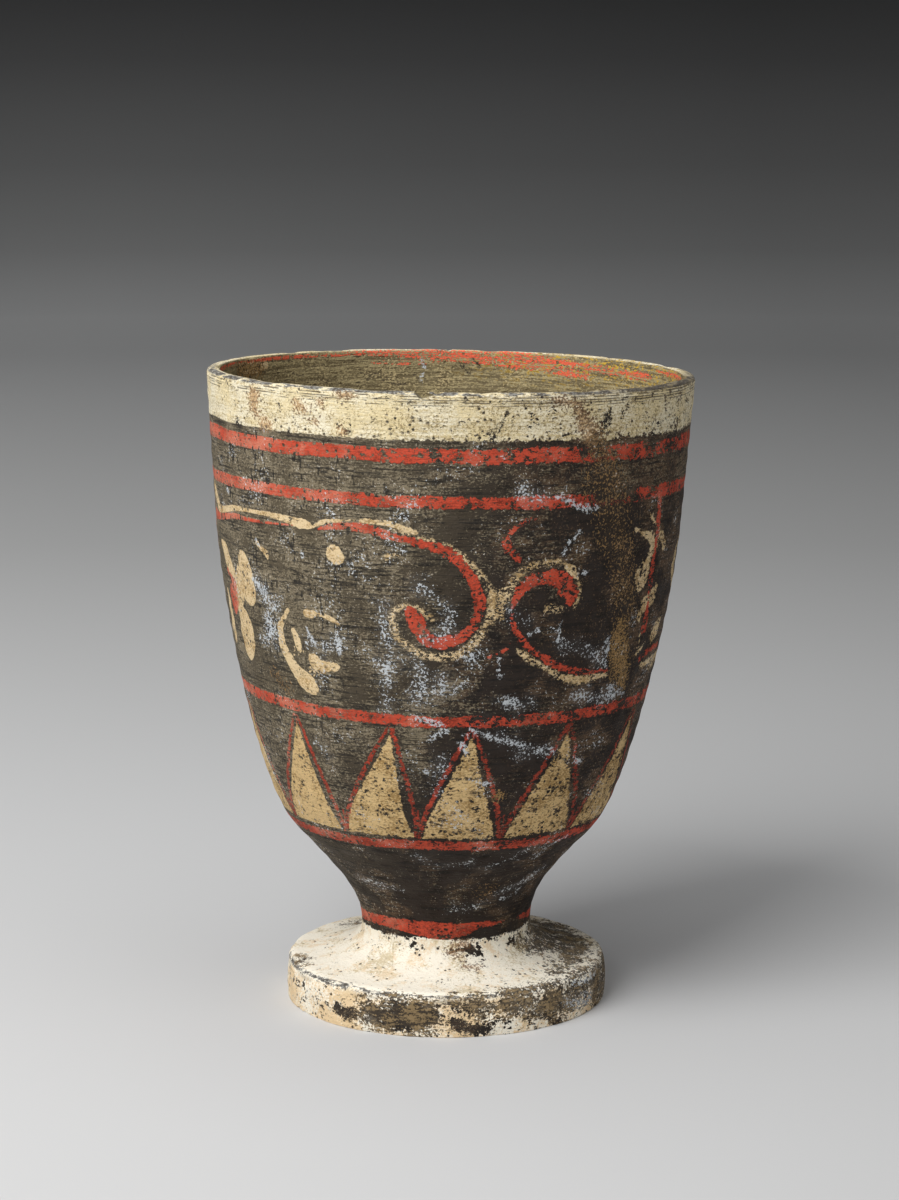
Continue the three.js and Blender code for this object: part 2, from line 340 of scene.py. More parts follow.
# Brush strokes round the cup as (azimuth in degrees, height in mm, brush width in mm)
frieze = {
    # buff paint, laid on full: the scroll's arm, the dot, the flower, the broken ring and the leaves
    "buff": [
        [(-80, 114.3, 1.9), (-76, 111.2, 2.9), (-73, 109.7, 1.6), (-62.5, 111.1, 1.3),
         (-56, 111.4, 0.8), (-48, 111.5, 1)],
        [(-48, 111.5, 1), (-41.5, 111.1, 1.5), (-37.5, 110.6, 2.1), (-35, 110.4, 1.9), (-33.5, 110.1, 0.8)],
        [(-32, 110.8, 0.8), (-29, 111.7, 1), (-25, 112, 0.6), (-22, 112.4, 0.4)],
        [(-20.5, 112.3, 0.8), (-17.5, 112.4, 1.2), (-12.5, 111.9, 1.2), (-7.5, 110.4, 1)],
        [(-27.5, 105, 3.7), (-26.7, 104.4, 3.4)],
        [(-75, 102.5, 1), (-72, 101.1, 3.6), (-70.5, 99, 4.3), (-68, 97.2, 2.8), (-65.5, 95.7, 1.1)],
        [(-61, 101.7, 1.2), (-60, 100.3, 4.2), (-59.2, 98.1, 5.8), (-59.2, 96.4, 5.7), (-59.6, 95, 4.2)],
        [(-61, 95.5, 2), (-58.5, 94.9, 4.7), (-58.5, 93.6, 5.7), (-57.8, 92.2, 2.8), (-57.5, 91.6, 1.1)],
        [(-63, 96.7, 3.3), (-64.5, 93.3, 3.9), (-66, 90, 3.1)],
        [(-66, 89.6, 2), (-64.7, 88.3, 3.6), (-63.5, 86.5, 5.9), (-63.3, 84, 6.8), (-63.7, 81, 5.1),
         (-64, 79.2, 2.4)],
        [(-75, 91.8, 1.3), (-75, 87.9, 2.5), (-75, 84.2, 3.2), (-75.4, 81.2, 1.9)],
        [(-52, 104.9, 1.2), (-51, 104, 0.8), (-49, 103.2, 1.5), (-48.5, 102.3, 0.9)],
        [(-42.6, 91.7, 1), (-44.4, 89.8, 1.1), (-46, 87.9, 1.8), (-46.3, 85.9, 1.8), (-45.8, 83.2, 2.3),
         (-44, 80.8, 2.6)],
        [(-44, 80.8, 2.6), (-42, 78.6, 3.2), (-39.3, 76.8, 4.2), (-37.4, 75.6, 3.5)],
        [(-36.4, 91.7, 1.9), (-35.1, 91.7, 1.9)],
        [(-33.6, 91.8, 0.6), (-31.3, 91.6, 1), (-28.8, 91, 1.1), (-27, 90.1, 0.2)],
        [(-41.3, 87.4, 1.3), (-40.6, 85.5, 1.9), (-40.2, 83.8, 1.6), (-40, 83, 0.5)],
        [(-36.4, 82.7, 0.7), (-35.6, 81.7, 2.8), (-34, 80.4, 3), (-31.7, 80.8, 1.9), (-29.6, 80.8, 2.1),
         (-28, 80.9, 0.6)],
        [(56, 112.1, 0.7), (57.2, 111, 0.9), (59, 109.9, 0.3)],
        [(50, 109.3, 0.4), (53.6, 108.3, 1.1), (57, 106.9, 1.7), (59, 104.8, 2.4), (57.7, 102.8, 2),
         (56.2, 101, 2.2)],
        [(56.2, 101, 2.2), (57, 99, 2.1), (55, 97.3, 2.5), (54.5, 96.1, 0.7)],
        [(54, 101.3, 1), (52.8, 99.5, 1.4), (54, 97.6, 1.4)],
        [(61, 108.5, 1.1), (63.2, 106.5, 2), (65, 104.6, 1.9), (65.6, 103.4, 0.5)],
        [(63.7, 95.9, 1.4), (63.8, 94.3, 1.6), (62, 92.8, 1.8), (59, 91.9, 2.4), (57, 90.8, 1.6),
         (57, 89.3, 0.4)],
        [(57, 93.2, 0.4), (59.6, 94.4, 0.4), (62.7, 95.3, 0.4)],
        [(71.7, 87.4, 1.5), (70.8, 86.2, 3.4), (68.4, 84.8, 3.2), (67.5, 83.8, 1.2)],
        [(59.2, 85.5, 0.6), (59.3, 84.2, 0.6)],
        [(62.8, 83.3, 0.6), (60.8, 82.5, 0.5), (59, 81.6, 0.4)],
        [(84, 105.6, 0.6), (80, 103, 1.8), (78, 100, 3.1), (78, 97.4, 3.4), (84.5, 92.7, 1.4)],
        [(63.4, 78.4, 1.2), (70, 78.8, 1.6), (79, 79.1, 1.8)],
        [(28.7, 103.3, 1.1), (30.4, 102.3, 2), (32, 100.3, 0.9), (33, 98.2, 0.5)],
        [(10.5, 98.4, 1), (10.7, 96.7, 1.4), (10.7, 95.2, 1.2)],
        [(30.8, 79.4, 1.2), (35.7, 78.4, 1.9), (41.5, 78.5, 1.5), (46.4, 78.5, 0.8)],
    ],
    # buff paint, thin and half rubbed away: the edging of the hooks
    "rubbedBuff": [
        [(-1.7, 108.5, 0.6), (1.5, 107.1, 0.8), (4.8, 104.5, 1.4), (8.5, 101.1, 1.4), (10, 98.2, 1.6),
         (10.6, 95.2, 1.7)],
        [(10.6, 95.2, 1.7), (10, 92.5, 1.6), (8.5, 90.2, 1.6), (7.2, 88.1, 1.8), (4.3, 85.7, 1.8),
         (-0.3, 84.4, 1.8)],
        [(-0.3, 84.4, 1.8), (-5.7, 84.9, 1.6), (-9.4, 86.5, 1.6), (-12.4, 88.7, 1.4),
         (-12.8, 90.4, 1.9), (-13.5, 92.5, 1.5)],
        [(-13.5, 92.5, 1.5), (-12.7, 94, 1.4), (-10.8, 95.1, 1.2), (-8.3, 95.2, 0.8), (-5.7, 94.2, 1.2),
         (-4, 92.8, 1.6)],
        [(-14.4, 105.2, 1.2), (-12.5, 105.7, 1), (-10.6, 105.6, 0.4)],
        [(-14.4, 111.4, 0.6), (-10, 110.3, 0.6), (-7.6, 109.6, 0.6), (-3.7, 108.9, 0.8)],
        [(14.4, 97.5, 1.9), (15.2, 99.8, 1.9), (16.8, 101.9, 1.9), (18.9, 103.3, 1.6), (22, 104, 1.4),
         (26, 104.4, 1), (28.6, 103.7, 1)],
        [(33, 98, 1), (33, 95.8, 1.2), (32, 94.6, 0.9)],
        [(24.4, 94, 1.1), (25, 94.8, 1.4), (27, 94.1, 1.6), (29, 94.4, 1)],
        [(12.2, 98, 1.5), (12.8, 95.6, 2.1), (12.5, 93.1, 1.7)],
        [(17.6, 85.9, 0.8), (19.6, 84.8, 1.7), (22.5, 83.2, 1.5), (25.7, 81.9, 1.3), (29.2, 80.2, 1.3)],
        [(71, 77, 1.5), (84, 78.3, 2.2)],
    ],
    # red paint: the scroll with its hooked end, the second hook, the stalk, the flower's heart, the stem band
    "red": [
        [(-80, 108, 2.7), (-73.4, 108.1, 1.5), (-63, 109.4, 1.3), (-56.5, 109.5, 0.8),
         (-49.6, 109.6, 0.6), (-39.2, 110, 0.3)],
        [(-85.5, 110, 2.1), (-84.5, 106, 2), (-85, 100.4, 2), (-85, 97, 1.3)],
        [(-31.6, 109.8, 0.4), (-29.4, 110.4, 1), (-25.4, 110.9, 1.6), (-22, 111, 1.8),
         (-18.2, 110.6, 2), (-14.6, 109.9, 1.8)],
        [(-14.6, 109.9, 1.8), (-12, 109.2, 1.6), (-7, 108.4, 1.6), (-4.2, 107.8, 1.8),
         (-1.7, 107.3, 2.2), (1.3, 105.7, 2.4)],
        [(1.3, 105.7, 2.4), (3.9, 103.4, 2.2), (6.2, 100.1, 2.2), (7.6, 96.7, 2.5), (7.5, 93.4, 2.2),
         (6.1, 90.8, 1.8)],
        [(6.1, 90.8, 1.8), (3.2, 88.7, 2), (-0.9, 87.6, 3.1), (-4.5, 87.9, 2.6), (-6, 89.6, 2.9),
         (-7.4, 91.9, 3.7), (-8.8, 93.9, 2.5)],
        [(20.2, 113.4, 0.4), (18.3, 113, 1.2), (16.4, 112.2, 1), (14.6, 110.8, 1), (13.5, 109, 1.9),
         (13.8, 107.3, 1.9)],
        [(14.8, 106.3, 0.6), (15.8, 105.6, 1.4), (16.6, 104.8, 0.8)],
        [(30.7, 95.6, 1.9), (31, 97.7, 3.1), (29, 99.2, 4.3), (26.3, 100.9, 3.7), (23.4, 101, 2.6),
         (20.3, 100.7, 2.5)],
        [(20.3, 100.7, 2.5), (18, 99.1, 2.3), (16.4, 96.8, 1.5), (15.6, 94.7, 0.5)],
        [(15.7, 92.8, 0.6), (16.4, 90.7, 1.1), (17.5, 89.4, 1.1), (19.6, 87.4, 1.3), (22, 85.3, 1.1),
         (24.8, 83.9, 1.3)],
        [(24.8, 83.9, 1.3), (28, 82.4, 1.5), (32, 81.1, 1.3), (37.3, 80, 1.2), (42.2, 79.8, 0.8),
         (46.5, 79.5, 0.4)],
        [(59.7, 115.4, 1.7), (60.2, 111.3, 1.7), (60.3, 108.3, 1.7), (60, 105.3, 1.2), (60, 101.9, 1.6),
         (59.7, 98.3, 2), (60.2, 95, 0.8)],
        [(60.4, 92.6, 0.6), (60.4, 91.3, 1.3), (60.8, 89.3, 2.1), (61, 86.8, 2.1)],
        [(61.6, 80.2, 1.1), (66.3, 81.3, 1.3), (76.3, 81.5, 1)],
        [(-71.5, 96.9, 0.9), (-69.5, 95.4, 1.9), (-68.4, 93.6, 3.8), (-69.2, 91.3, 5.3),
         (-69.4, 89.6, 3.5), (-69.7, 87.8, 1.2)],
        [(14, 85.6, 0.8), (14.8, 86, 1)],
        [(10.4, 84.4, 0.6), (11, 84.6, 0.5)],
        [(-90, 18.4, 2.6), (-61, 19.3, 2.3), (-44, 19.6, 2.4), (-31, 19.5, 2.8), (-13.6, 19.1, 3.7),
         (-0.4, 18.8, 3.9), (11, 19, 3)],
        [(11, 19, 3), (23, 19.8, 1.7), (34.6, 19.7, 0.9), (42, 19.7, 0.5)],
        [(56, 19.5, 0.6), (63, 19.4, 1.2), (85, 19, 2), (120, 19.2, 2.8), (150, 19, 3.4), (180, 19.3, 3)],
        [(-90, 18.4, 2.6), (-120, 19, 3), (-150, 19.4, 3.4), (-180, 19.3, 3)],
    ],
}

# The frieze's front strokes, between these azimuths and above this height, come again round the back
friezeBack = {"from": -60, "to": 50, "above": 30, "turn": 168}

# The triangles over the foot of the cup, as azimuths of the left foot, the point and the right foot
triangleRow = {
    "seen": [
        (-90, -77, -62.5), (-62, -45.5, -35), (-34.5, -15, -8.5),
        (-8, 7.5, 18.8), (19.8, 36.4, 48), (48.6, 66.5, 77),
    ],
    "count": 13, "footRadius": 36.4, "pointWidth": 0.5, "shoulderDrop": 9,
    "footHeight": 44.3, "pointHeight": 67.2, "outline": 0.95, "fillShare": 0.9, "bow": 1.1,
}

bands = {
    # centre height and width of each red band
    "red": [(126.2, 2.9), (116.8, 2.5), (70.7, 2.4), (41.6, 2.2)],
    "lipSlip": 129.3,  # the pale slip runs from here up over the lip
    "footSlip": 16.9,  # and from here down over the foot
    "triangleFeet": 43.6,  # the triangles are cut off level here
    "turnedLines": [(138.1, 0.12), (137.5, 0.09), (137, 0.11), (136.4, 0.07)],  # height and half width
}


# Wear and dirt, with a painted shadow and painted highlights among them, in the same terms
wear = {
    # chalky scrapes and dabs
    "chalk": [
        [(25.2, 117.9, 0.8), (27.5, 117.2, 1), (29.5, 116.1, 1), (32, 115.2, 1.2), (36, 114.7, 1)],
        [(-7.2, 70.9, 1.2), (-4.8, 70.4, 1.2), (-1.9, 70, 1), (-0.5, 69.6, 0.4)],
        [(-4, 66.2, 1), (-2.4, 67.5, 1.2), (0.3, 68.5, 1)],
        [(6.7, 68.9, 0.6), (9.5, 68, 1.1), (13.2, 66.8, 1), (17, 66.1, 0.8), (21.2, 65, 0.8),
         (23.4, 64.4, 0.6)],
        [(27, 63.1, 0.9), (29.2, 63.8, 0.8), (31.8, 62.7, 0.7)],
        [(4.7, 66, 1.4), (5.1, 64.7, 1.5), (6.2, 63.8, 1)],
        [(40.7, 59.9, 1.1), (42.8, 59.7, 1.1)],
        [(10.6, 56.5, 0.8), (13, 56.5, 0.8), (14.5, 56.7, 0.6)],
        [(16.6, 75, 2), (18.4, 74.2, 2)],
        [(13.4, 83.9, 0.6), (13.3, 82.2, 0.7), (14, 80.2, 0.4)],
        [(28.6, 90.8, 0.3), (28.6, 89.1, 0.6), (28.5, 87.4, 0.8)],
        [(44.4, 86.3, 1.2), (45, 83, 1), (45, 80.6, 0.8)],
        [(49.7, 75.2, 1.8), (50, 73.4, 1.2), (53.5, 73.9, 0.9), (56.4, 73.3, 0.6)],
        [(34.3, 74.8, 0.3), (35.8, 75.5, 0.3), (37.3, 76, 0.3)],
        [(20.7, 89.3, 0.3), (22.7, 90, 0.3)],
        [(32, 110.2, 0.3), (29.6, 108.4, 0.4), (27.7, 105.4, 0.4)],
        [(32.2, 101.4, 0.5), (35, 101.4, 0.4)],
        [(-36.8, 88.5, 0.6), (-36, 86.8, 1), (-35, 85.3, 1.4)],
        [(-28, 88.5, 0.7), (-27.5, 86.2, 1.3), (-28, 84, 1)],
        [(-56, 97, 0.5), (-53.4, 96.2, 0.9), (-51, 95.4, 0.6)],
        [(-52.5, 105.6, 0.8), (-51.4, 104.4, 0.7)],
        [(-36.5, 104.4, 0.9), (-36.3, 103.6, 0.7)],
        [(-66.4, 114.7, 1), (-65.2, 114, 0.6)],
        [(-5.4, 59.4, 0.9), (-4.9, 59, 0.7)],
        [(34.2, 25.8, 0.4), (41.3, 26.1, 0.5), (46.2, 27.5, 0.7)],
        [(42, 39.1, 0.3), (45.8, 40.3, 0.4), (50.5, 41.2, 0.3)],
        [(51, 7.9, 0.7), (63, 7.4, 1), (72, 8.2, 0.7)],
        [(-162, 92, 0.8), (-158, 90, 1.1), (-155, 88.4, 0.8)],
        [(120, 74, 1), (125, 72.4, 1.4), (131, 71, 1)],
    ],
    # chalky haze, as loose specks
    "haze": [
        [(-7, 83, 4), (-6.5, 79.9, 6), (-6.8, 76.4, 5)],
        [(-1.5, 80, 2.5), (-0.9, 77.5, 3)],
        [(-15, 82, 4), (-15.6, 74.3, 5)],
        [(-2.8, 88.2, 3), (0.7, 92.5, 4), (-1.7, 96.7, 4), (-6.4, 99.7, 4)],
        [(15, 75.2, 3), (17.6, 74.4, 4), (23, 74, 2.4)],
        [(30, 86.5, 4), (39, 84.6, 4), (43.2, 81.6, 4)],
        [(38, 74.7, 3), (44.3, 73.4, 4), (50, 74, 4)],
        [(12, 67.5, 4), (20, 64.5, 5), (30, 62.5, 4)],
        [(20.9, 118, 3), (16, 119, 3)],
        [(-37, 85.2, 4), (-33, 85, 3), (-28, 86, 3.6)],
        [(-54, 95.8, 3), (-50.5, 94, 4), (-48, 92, 4.6), (-45, 93.5, 3)],
        [(-51.7, 89, 4), (-50, 86, 4), (-55, 83.7, 3)],
        [(-16.2, 94, 4), (-15.2, 87.7, 4)],
        [(15, 94, 4), (19, 92, 3)],
        [(1, 36.3, 2), (7, 36.6, 3), (11.6, 37.3, 3)],
        [(19.8, 35.9, 2.4), (24.4, 36.8, 3), (34, 40, 2)],
        [(-9, 38.9, 2), (-7, 37.8, 1.4)],
        [(-48, 29.6, 1.6), (-31.5, 29.4, 1.8), (-20, 28, 1.4)],
        [(0.2, 23.5, 1.4), (9.4, 23.9, 1.8), (19, 24.7, 1.6)],
        [(30, 27.6, 2), (42, 29, 3), (54, 32, 3)],
        [(3.6, 51, 2), (8.6, 48, 2), (12, 45.5, 1.4)],
        [(-39, 63.3, 2.4), (-36.3, 61.4, 2)],
        [(-2, 55, 4), (0, 62, 4)],
        [(48, 4.5, 3.5), (56, 3.5, 4.5), (62, 3.4, 3.5)],
        [(150, 100, 6), (165, 96, 8), (176, 90, 6)],
        [(-120, 66, 5), (-132, 62, 6), (-145, 60, 4)],
    ],
    # brown stains on the slip
    "stain": [
        [(29.5, 135.2, 2.6), (31.5, 132.4, 4.4), (33.7, 130, 5)],
        [(23.5, 137.8, 1.8), (26.3, 137.1, 2), (29.7, 136.4, 1.6)],
        [(-50.5, 135.8, 4), (-50.5, 133, 2.6)],
        [(-47, 130.3, 3.6), (-45.5, 130.2, 2.4)],
        [(-36.5, 135.2, 2.6), (-35, 134.4, 2.2)],
        [(-30.4, 136, 1.4), (-30, 135.8, 1.4)],
        [(-25.4, 137.8, 1.6), (-22, 138, 1.6)],
        [(-32, 132, 1.6), (-31.6, 131.8, 1.6)],
        [(-25, 130.6, 1.8), (-24.6, 130.3, 1.8)],
        [(66, 137, 0.6), (67, 135, 0.8)],
        [(5.5, 15.6, 1.4), (10, 15.8, 2), (15, 15.6, 1.4)],
        [(2, 14.2, 1.4), (9, 13.4, 1)],
        [(10, 11.8, 1.2), (16, 11.6, 1.8), (20, 11.8, 1)],
        [(160, 136, 3), (150, 133, 4), (148, 128, 3)],
        [(-140, 131, 3), (-132, 133, 4)],
    ],
    # the brown streak of crust that runs down from the lip
    "crust": [
        [(34.5, 129.5, 3.4), (36, 127.2, 4.2), (37.5, 124.4, 5.6)],
        [(37, 123, 7), (39, 118, 9), (42, 111, 8), (46, 103, 6.5), (49, 96, 6), (50, 90, 5)],
        [(21.5, 28.8, 2.4), (24, 28.6, 2.6)],
        [(-47, 74.5, 1), (-52, 76.5, 1)],
    ],
    # a pale brown clod, grainy and thick
    "clod": [
        [(48.5, 89.5, 2.4), (49, 86, 5), (50.5, 82.5, 6), (52.5, 79, 6), (55, 75, 2)],
        [(16.2, 53.6, 1.2), (17.6, 53.2, 1)],
    ],
    # dark smudges and nicks in the slip
    "smudge": [
        [(38, 134.6, 1.4), (37.6, 133.6, 2.4), (37, 132.6, 2.2)],
        [(12.3, 135, 0.5), (11.6, 133.4, 0.5), (10.8, 131.4, 0.7)],
        [(9, 131.5, 0.8), (9.3, 129.6, 1.3)],
        [(3.4, 130.2, 0.6), (3.8, 129, 0.9)],
        [(-58.2, 130.6, 0.8), (-58.4, 129, 1)],
        [(-56.2, 129.8, 0.7), (-56.6, 128.8, 1)],
        [(-39, 130, 0.6), (-39.2, 128.6, 0.9)],
        [(-24.2, 130.8, 0.9), (-22.8, 130.2, 1)],
        [(-17.4, 133.4, 0.6), (-16.6, 133.2, 0.7)],
        [(-9.1, 136.8, 0.8)] * 2,
        [(-6.5, 133.7, 0.6)] * 2,
        [(-13.2, 130.4, 0.6)] * 2,
        [(-14, 137.7, 0.5)] * 2,
        [(-27, 57.5, 0.7), (-24, 56.6, 0.6)],
        [(-12, 57.8, 0.3), (-2, 58, 0.3), (6, 57.6, 0.4), (12, 57.9, 0.3)],
        [(-21, 49.4, 0.8), (-17.5, 48.4, 0.8)],
        [(7, 54.6, 0.4), (14, 54.2, 0.4)],
        [(37, 60.3, 1)] * 2,
        [(76, 60.5, 1), (70, 61, 0.8)],
    ],
    # paint gone back to the clay
    "lost": [
        [(-5.4, 127.6, 0.6), (-3.6, 126.8, 1), (-3.2, 126, 1.2), (-2.2, 125, 1.4)],
        [(-16, 127.2, 0.8), (-14.6, 126.7, 0.6)],
        [(19.4, 113, 0.7), (17, 112.2, 0.4)],
        [(14.6, 109.4, 0.7), (13.2, 107.6, 0.5)],
        [(31, 126.6, 1), (34, 127, 1.6), (37, 126.2, 1)],
        [(53, 126.6, 2), (56, 127.6, 1)],
        [(61, 125.6, 1.2), (64, 126.6, 0.8)],
        [(37, 117.4, 2.6), (43, 117.8, 3), (48, 117.4, 2.2)],
        [(54, 116.4, 1), (57, 117.2, 0.6)],
        [(10.2, 71.6, 1), (17.5, 71.8, 1.6), (21.5, 71, 1)],
        [(7.2, 70.6, 0.9), (9, 71.4, 0.8)],
        [(35.5, 71, 1.2), (38, 70.4, 1.2)],
        [(55, 70.6, 0.7), (58, 71.3, 0.6)],
        [(60, 70, 0.7), (63, 71, 0.6)],
        [(11, 14.9, 0.9), (15, 14.1, 1.8), (19, 14.2, 2.2), (20.5, 13.6, 1.4)],
        [(6, 14.2, 0.7), (11, 14.6, 0.7)],
        [(-22, 15.8, 1.2), (-21, 15.4, 1)],
        [(-46, 17.2, 1.2), (-44, 16.8, 1)],
        [(-34, 17.3, 0.5), (-24, 16.4, 0.5)],
        [(24, 17.8, 1.8), (34, 17.5, 2), (42, 18.4, 1.2)],
        [(46, 19, 2), (54, 18.4, 2.6), (58, 17.4, 1.6)],
        [(49, 15, 1.2), (51, 14.8, 1.2)],
        [(-75, 9.61, 0.7), (-72, 9.61, 0.8)],
        [(-40, 3.8, 2.6), (-37, 3.4, 2.4), (-35, 4, 1.6)],
        [(-27, 5.4, 2), (-23, 4.2, 2.4), (-19, 3.4, 3.4), (-13, 2.8, 3.4)],
        [(-17, 6, 3.4), (-12, 5.4, 4), (-8, 4.6, 4), (-5.5, 5, 3)],
        [(3, 3.2, 2.6), (6, 2.4, 2.4), (10, 1.8, 2), (14, 1.6, 1.4)],
        [(3, 7, 1.2), (7, 6.6, 1)],
        [(150, 126, 1.6), (158, 126.6, 2)],
        [(-118, 116.6, 1.4), (-112, 117, 2)],
        [(-150, 71, 1.4), (-143, 70.6, 1.6)],
        [(170, 5, 4), (178, 3.6, 3.4)],
        [(-125, 4.4, 3.6), (-118, 3.4, 2.4)],
    ],
    # broad brown grime over the foot, and on the top of the foot at the right and back also the cup's painted
    # shadow
    "grimeAndShadow": [
        [(57, 13.5, 2), (64, 12.6, 4), (80, 12, 8), (100, 12, 9), (125, 12, 9), (150, 11.5, 8),
         (172, 11.5, 4)],
        [(50, 9.7, 1.6), (62, 9.9, 4), (76, 10, 7), (100, 10, 8), (130, 10, 7)],
        [(22, 9.3, 1), (40, 9.4, 2), (56, 9.4, 3)],
        [(-79, 9.61, 0.6), (-74, 9.62, 1.2), (-69, 9.61, 0.7)],
        [(-32, 4, 3), (-24, 4.6, 6), (-12, 4.6, 7), (-4, 5, 5)],
        [(0, 7.4, 2), (8, 7, 3.4), (22, 6.4, 4), (36, 5, 6.4), (66, 5, 8), (100, 5, 8), (150, 5, 8),
         (-160, 5, 6)],
        [(80, 15.6, 3), (110, 16, 5), (140, 15.6, 3)],
        [(-130, 10, 4), (-145, 10.4, 6), (-158, 10, 3)],
    ],
    # the shoulder of the foot, rubbed grey, with a painted grey highlight along its edge
    "rubbed": [
        [(-88, 8.9, 1), (-60, 9, 1.2), (-44, 9.1, 1.5), (-24, 9, 1), (-8, 8.9, 0.7), (10, 9, 0.9)],
        [(14, 9, 1), (40, 9, 1.3), (70, 9, 1)],
        [(100, 9, 1.2), (160, 9, 1), (-160, 9, 1.4), (-120, 9, 1)],
    ],
}

insideStrokes = {
    "red": [
        [(-150, 138.5, 1), (-165, 138.3, 2.2), (180, 138, 3.3), (166, 137.5, 4.1), (154, 136.7, 4.2)],
        [(154, 135.5, 1.6), (147, 134.7, 1.6), (141, 134.1, 0.7)],
        [(152, 137.4, 1), (140, 136.6, 1.6), (128, 136.2, 1.2), (116, 136.4, 0.6)],
        [(138, 136.2, 0.8), (130, 136, 1.5), (121, 135.8, 1.5), (115, 135.6, 0.5)],
        [(-176, 136, 0.5), (-166, 135.6, 0.6), (-158, 135.9, 0.4)],
        [(112, 137.6, 0.7), (98, 137.8, 1.2), (88, 138, 0.8)],
        [(-95, 137.9, 1), (-78, 137.9, 1.2), (-60, 138, 0.9), (-30, 138.1, 0.7), (-12, 138.1, 0.6)],
        [(-150, 138, 0.8), (-125, 138, 0.8), (-95, 138, 1)],
    ],
    "buff": [
        [(-110, 136.9, 2.2), (-114, 136.8, 3.4), (-119, 136.9, 3.4), (-123, 136.8, 2)],
    ],
    "chalk": [
        [(-172, 137, 0.4), (-172.5, 135.6, 0.7), (-173.4, 134.6, 0.4)],
        [(-171.5, 132.6, 0.4), (-172.6, 131.4, 0.4)],
    ],
    "clod": [
        [(-109, 136.4, 2.4), (-114, 136.2, 3.6), (-120, 136.2, 3)],
    ],
    "smudge": [
        [(178, 136.4, 0.6), (176, 134.6, 0.6), (175, 133.8, 0.5)],
        [(174, 137, 0.5), (172, 135.4, 0.5)],
        [(-178.5, 139, 1.2), (-177, 138.6, 0.8)],
    ],
}


# A stroke's few points as a smooth line of azimuth, place along the outline and half the brush's width
def smoothLine(stroke, rows, inside):
    points = np.array(stroke, float)
    side = (rows["run"] > rows["crest"]) == inside
    order = np.argsort(rows["height"][side], kind="stable")
    points[:, 1] = np.interp(points[:, 1], rows["height"][side][order], rows["run"][side][order])
    points[:, 2] /= 2
    points[:, 0] = np.degrees(np.unwrap(np.radians(points[:, 0])))
    ends = np.vstack([2 * points[0] - points[1], points, 2 * points[-1] - points[-2]])
    line = []
    for before, start, end, after in zip(ends, ends[1:], ends[2:], ends[3:]):
        for t in np.arange(0, 1, 0.2):
            line.append(
                0.5 * (2 * start + (end - before) * t + (2 * before - 5 * start + 4 * end - after) * t ** 2
                       + (3 * start - before - 3 * end + after) * t ** 3)
            )
    return np.array([*line, points[-1]])


# For every vertex, the way to the nearest brush line with half the brush's width there, and the gap to the
# stroke's edge. A vertex farther away than farthest keeps that.
def brushField(strokes, spots, rows, inside=False):
    count = len(spots["azimuth"])
    farthest, looked, narrowest = 9.0, 6, 30  # mm; the last is a radius that turns mm into an angle
    way = np.tile([farthest, 0, 0], (count, 1))
    gap = np.full(count, farthest)
    for stroke in strokes:
        line = smoothLine(stroke, rows, inside)
        reach = line[:, 2].max() + looked
        middle = (line[:, 0].min() + line[:, 0].max()) / 2
        turn = (spots["azimuth"] - middle + 180) % 360 - 180
        span = line[:, 0].max() - middle + math.degrees(reach / narrowest)
        near = (np.abs(turn) < span) & (spots["inside"] == inside)
        near &= (spots["run"] > line[:, 1].min() - reach) & (spots["run"] < line[:, 1].max() + reach)
        near = np.flatnonzero(near)
        arc = np.radians(1) * spots["radius"][near]
        for start, end in zip(line, line[1:]):
            fromStart = np.stack([(start[0] - middle - turn[near]) * arc, start[1] - spots["run"][near]])
            fromEnd = np.stack([(end[0] - middle - turn[near]) * arc, end[1] - spots["run"][near]])
            along = fromEnd - fromStart
            share = np.clip(-(fromStart * along).sum(0) / np.maximum((along ** 2).sum(0), 1e-9), 0, 1)
            to = fromStart + along * share
            half = start[2] + (end[2] - start[2]) * share
            edge = np.hypot(*to) - half
            better = edge < gap[near]
            chosen = near[better]
            gap[chosen] = edge[better]
            way[chosen] = np.stack([*to[:, better], half[better]], 1)
    return way, gap


# Each triangle as a fill that widens from its point and two outlines bowed a little outwards
def triangleStrokes(row, rng):
    first, last = row["seen"][0][0], row["seen"][-1][2]
    rest = row["count"] - len(row["seen"])
    step = (360 + first - last) / rest
    hidden = []
    for k in range(rest):
        foot = last + k * step
        left = foot + rng.uniform(0.2, 1)
        point = foot + step / 2 + rng.uniform(-1.5, 1.5)
        hidden.append((left, point, foot + step - rng.uniform(0, 0.8)))
    low, high, thin = row["footHeight"], row["pointHeight"], row["outline"]
    shoulder = high - row["shoulderDrop"]
    fills, outlines = [], []
    for left, point, right in [*row["seen"], *hidden]:
        middle = (left + right) / 2
        base = math.radians(right - left) * row["footRadius"] * row["fillShare"]
        fills.append([
            (point, high - 0.6, row["pointWidth"]),
            (point + (middle - point) * 0.4, shoulder, base * 0.38),
            (middle, low + 3, base * 0.85),
            (middle, low - 1, base),
        ])
        for side, foot in ((-1, left), (1, right)):
            bow = side * row["bow"]
            outlines.append([
                (point + side * 0.7, high + 1.2, thin * 0.7),
                (point + (foot - point) * 0.4 + bow, shoulder, thin),
                (point + (foot - point) * 0.75 + bow, low + 5.5, thin),
                (foot, low - 0.5, thin),
            ])
    return fills, outlines


# The strokes with those of the front once more round the back
def roundTheBack(strokes, back):
    front = [s for s in strokes if back["from"] < s[0][0] < back["to"] and s[0][1] > back["above"]]
    behind = [[(azimuth + back["turn"], height, width) for azimuth, height, width in s] for s in front]
    return [*strokes, *behind]


# Keeps a value or a vector for every vertex under a name that the material reads
def storeValues(mesh, name, values):
    kind, field = ("FLOAT_VECTOR", "vector") if values.ndim > 1 else ("FLOAT", "value")
    mesh.attributes.new(name, kind, "POINT").data.foreach_set(field, values.astype(np.float32).ravel())


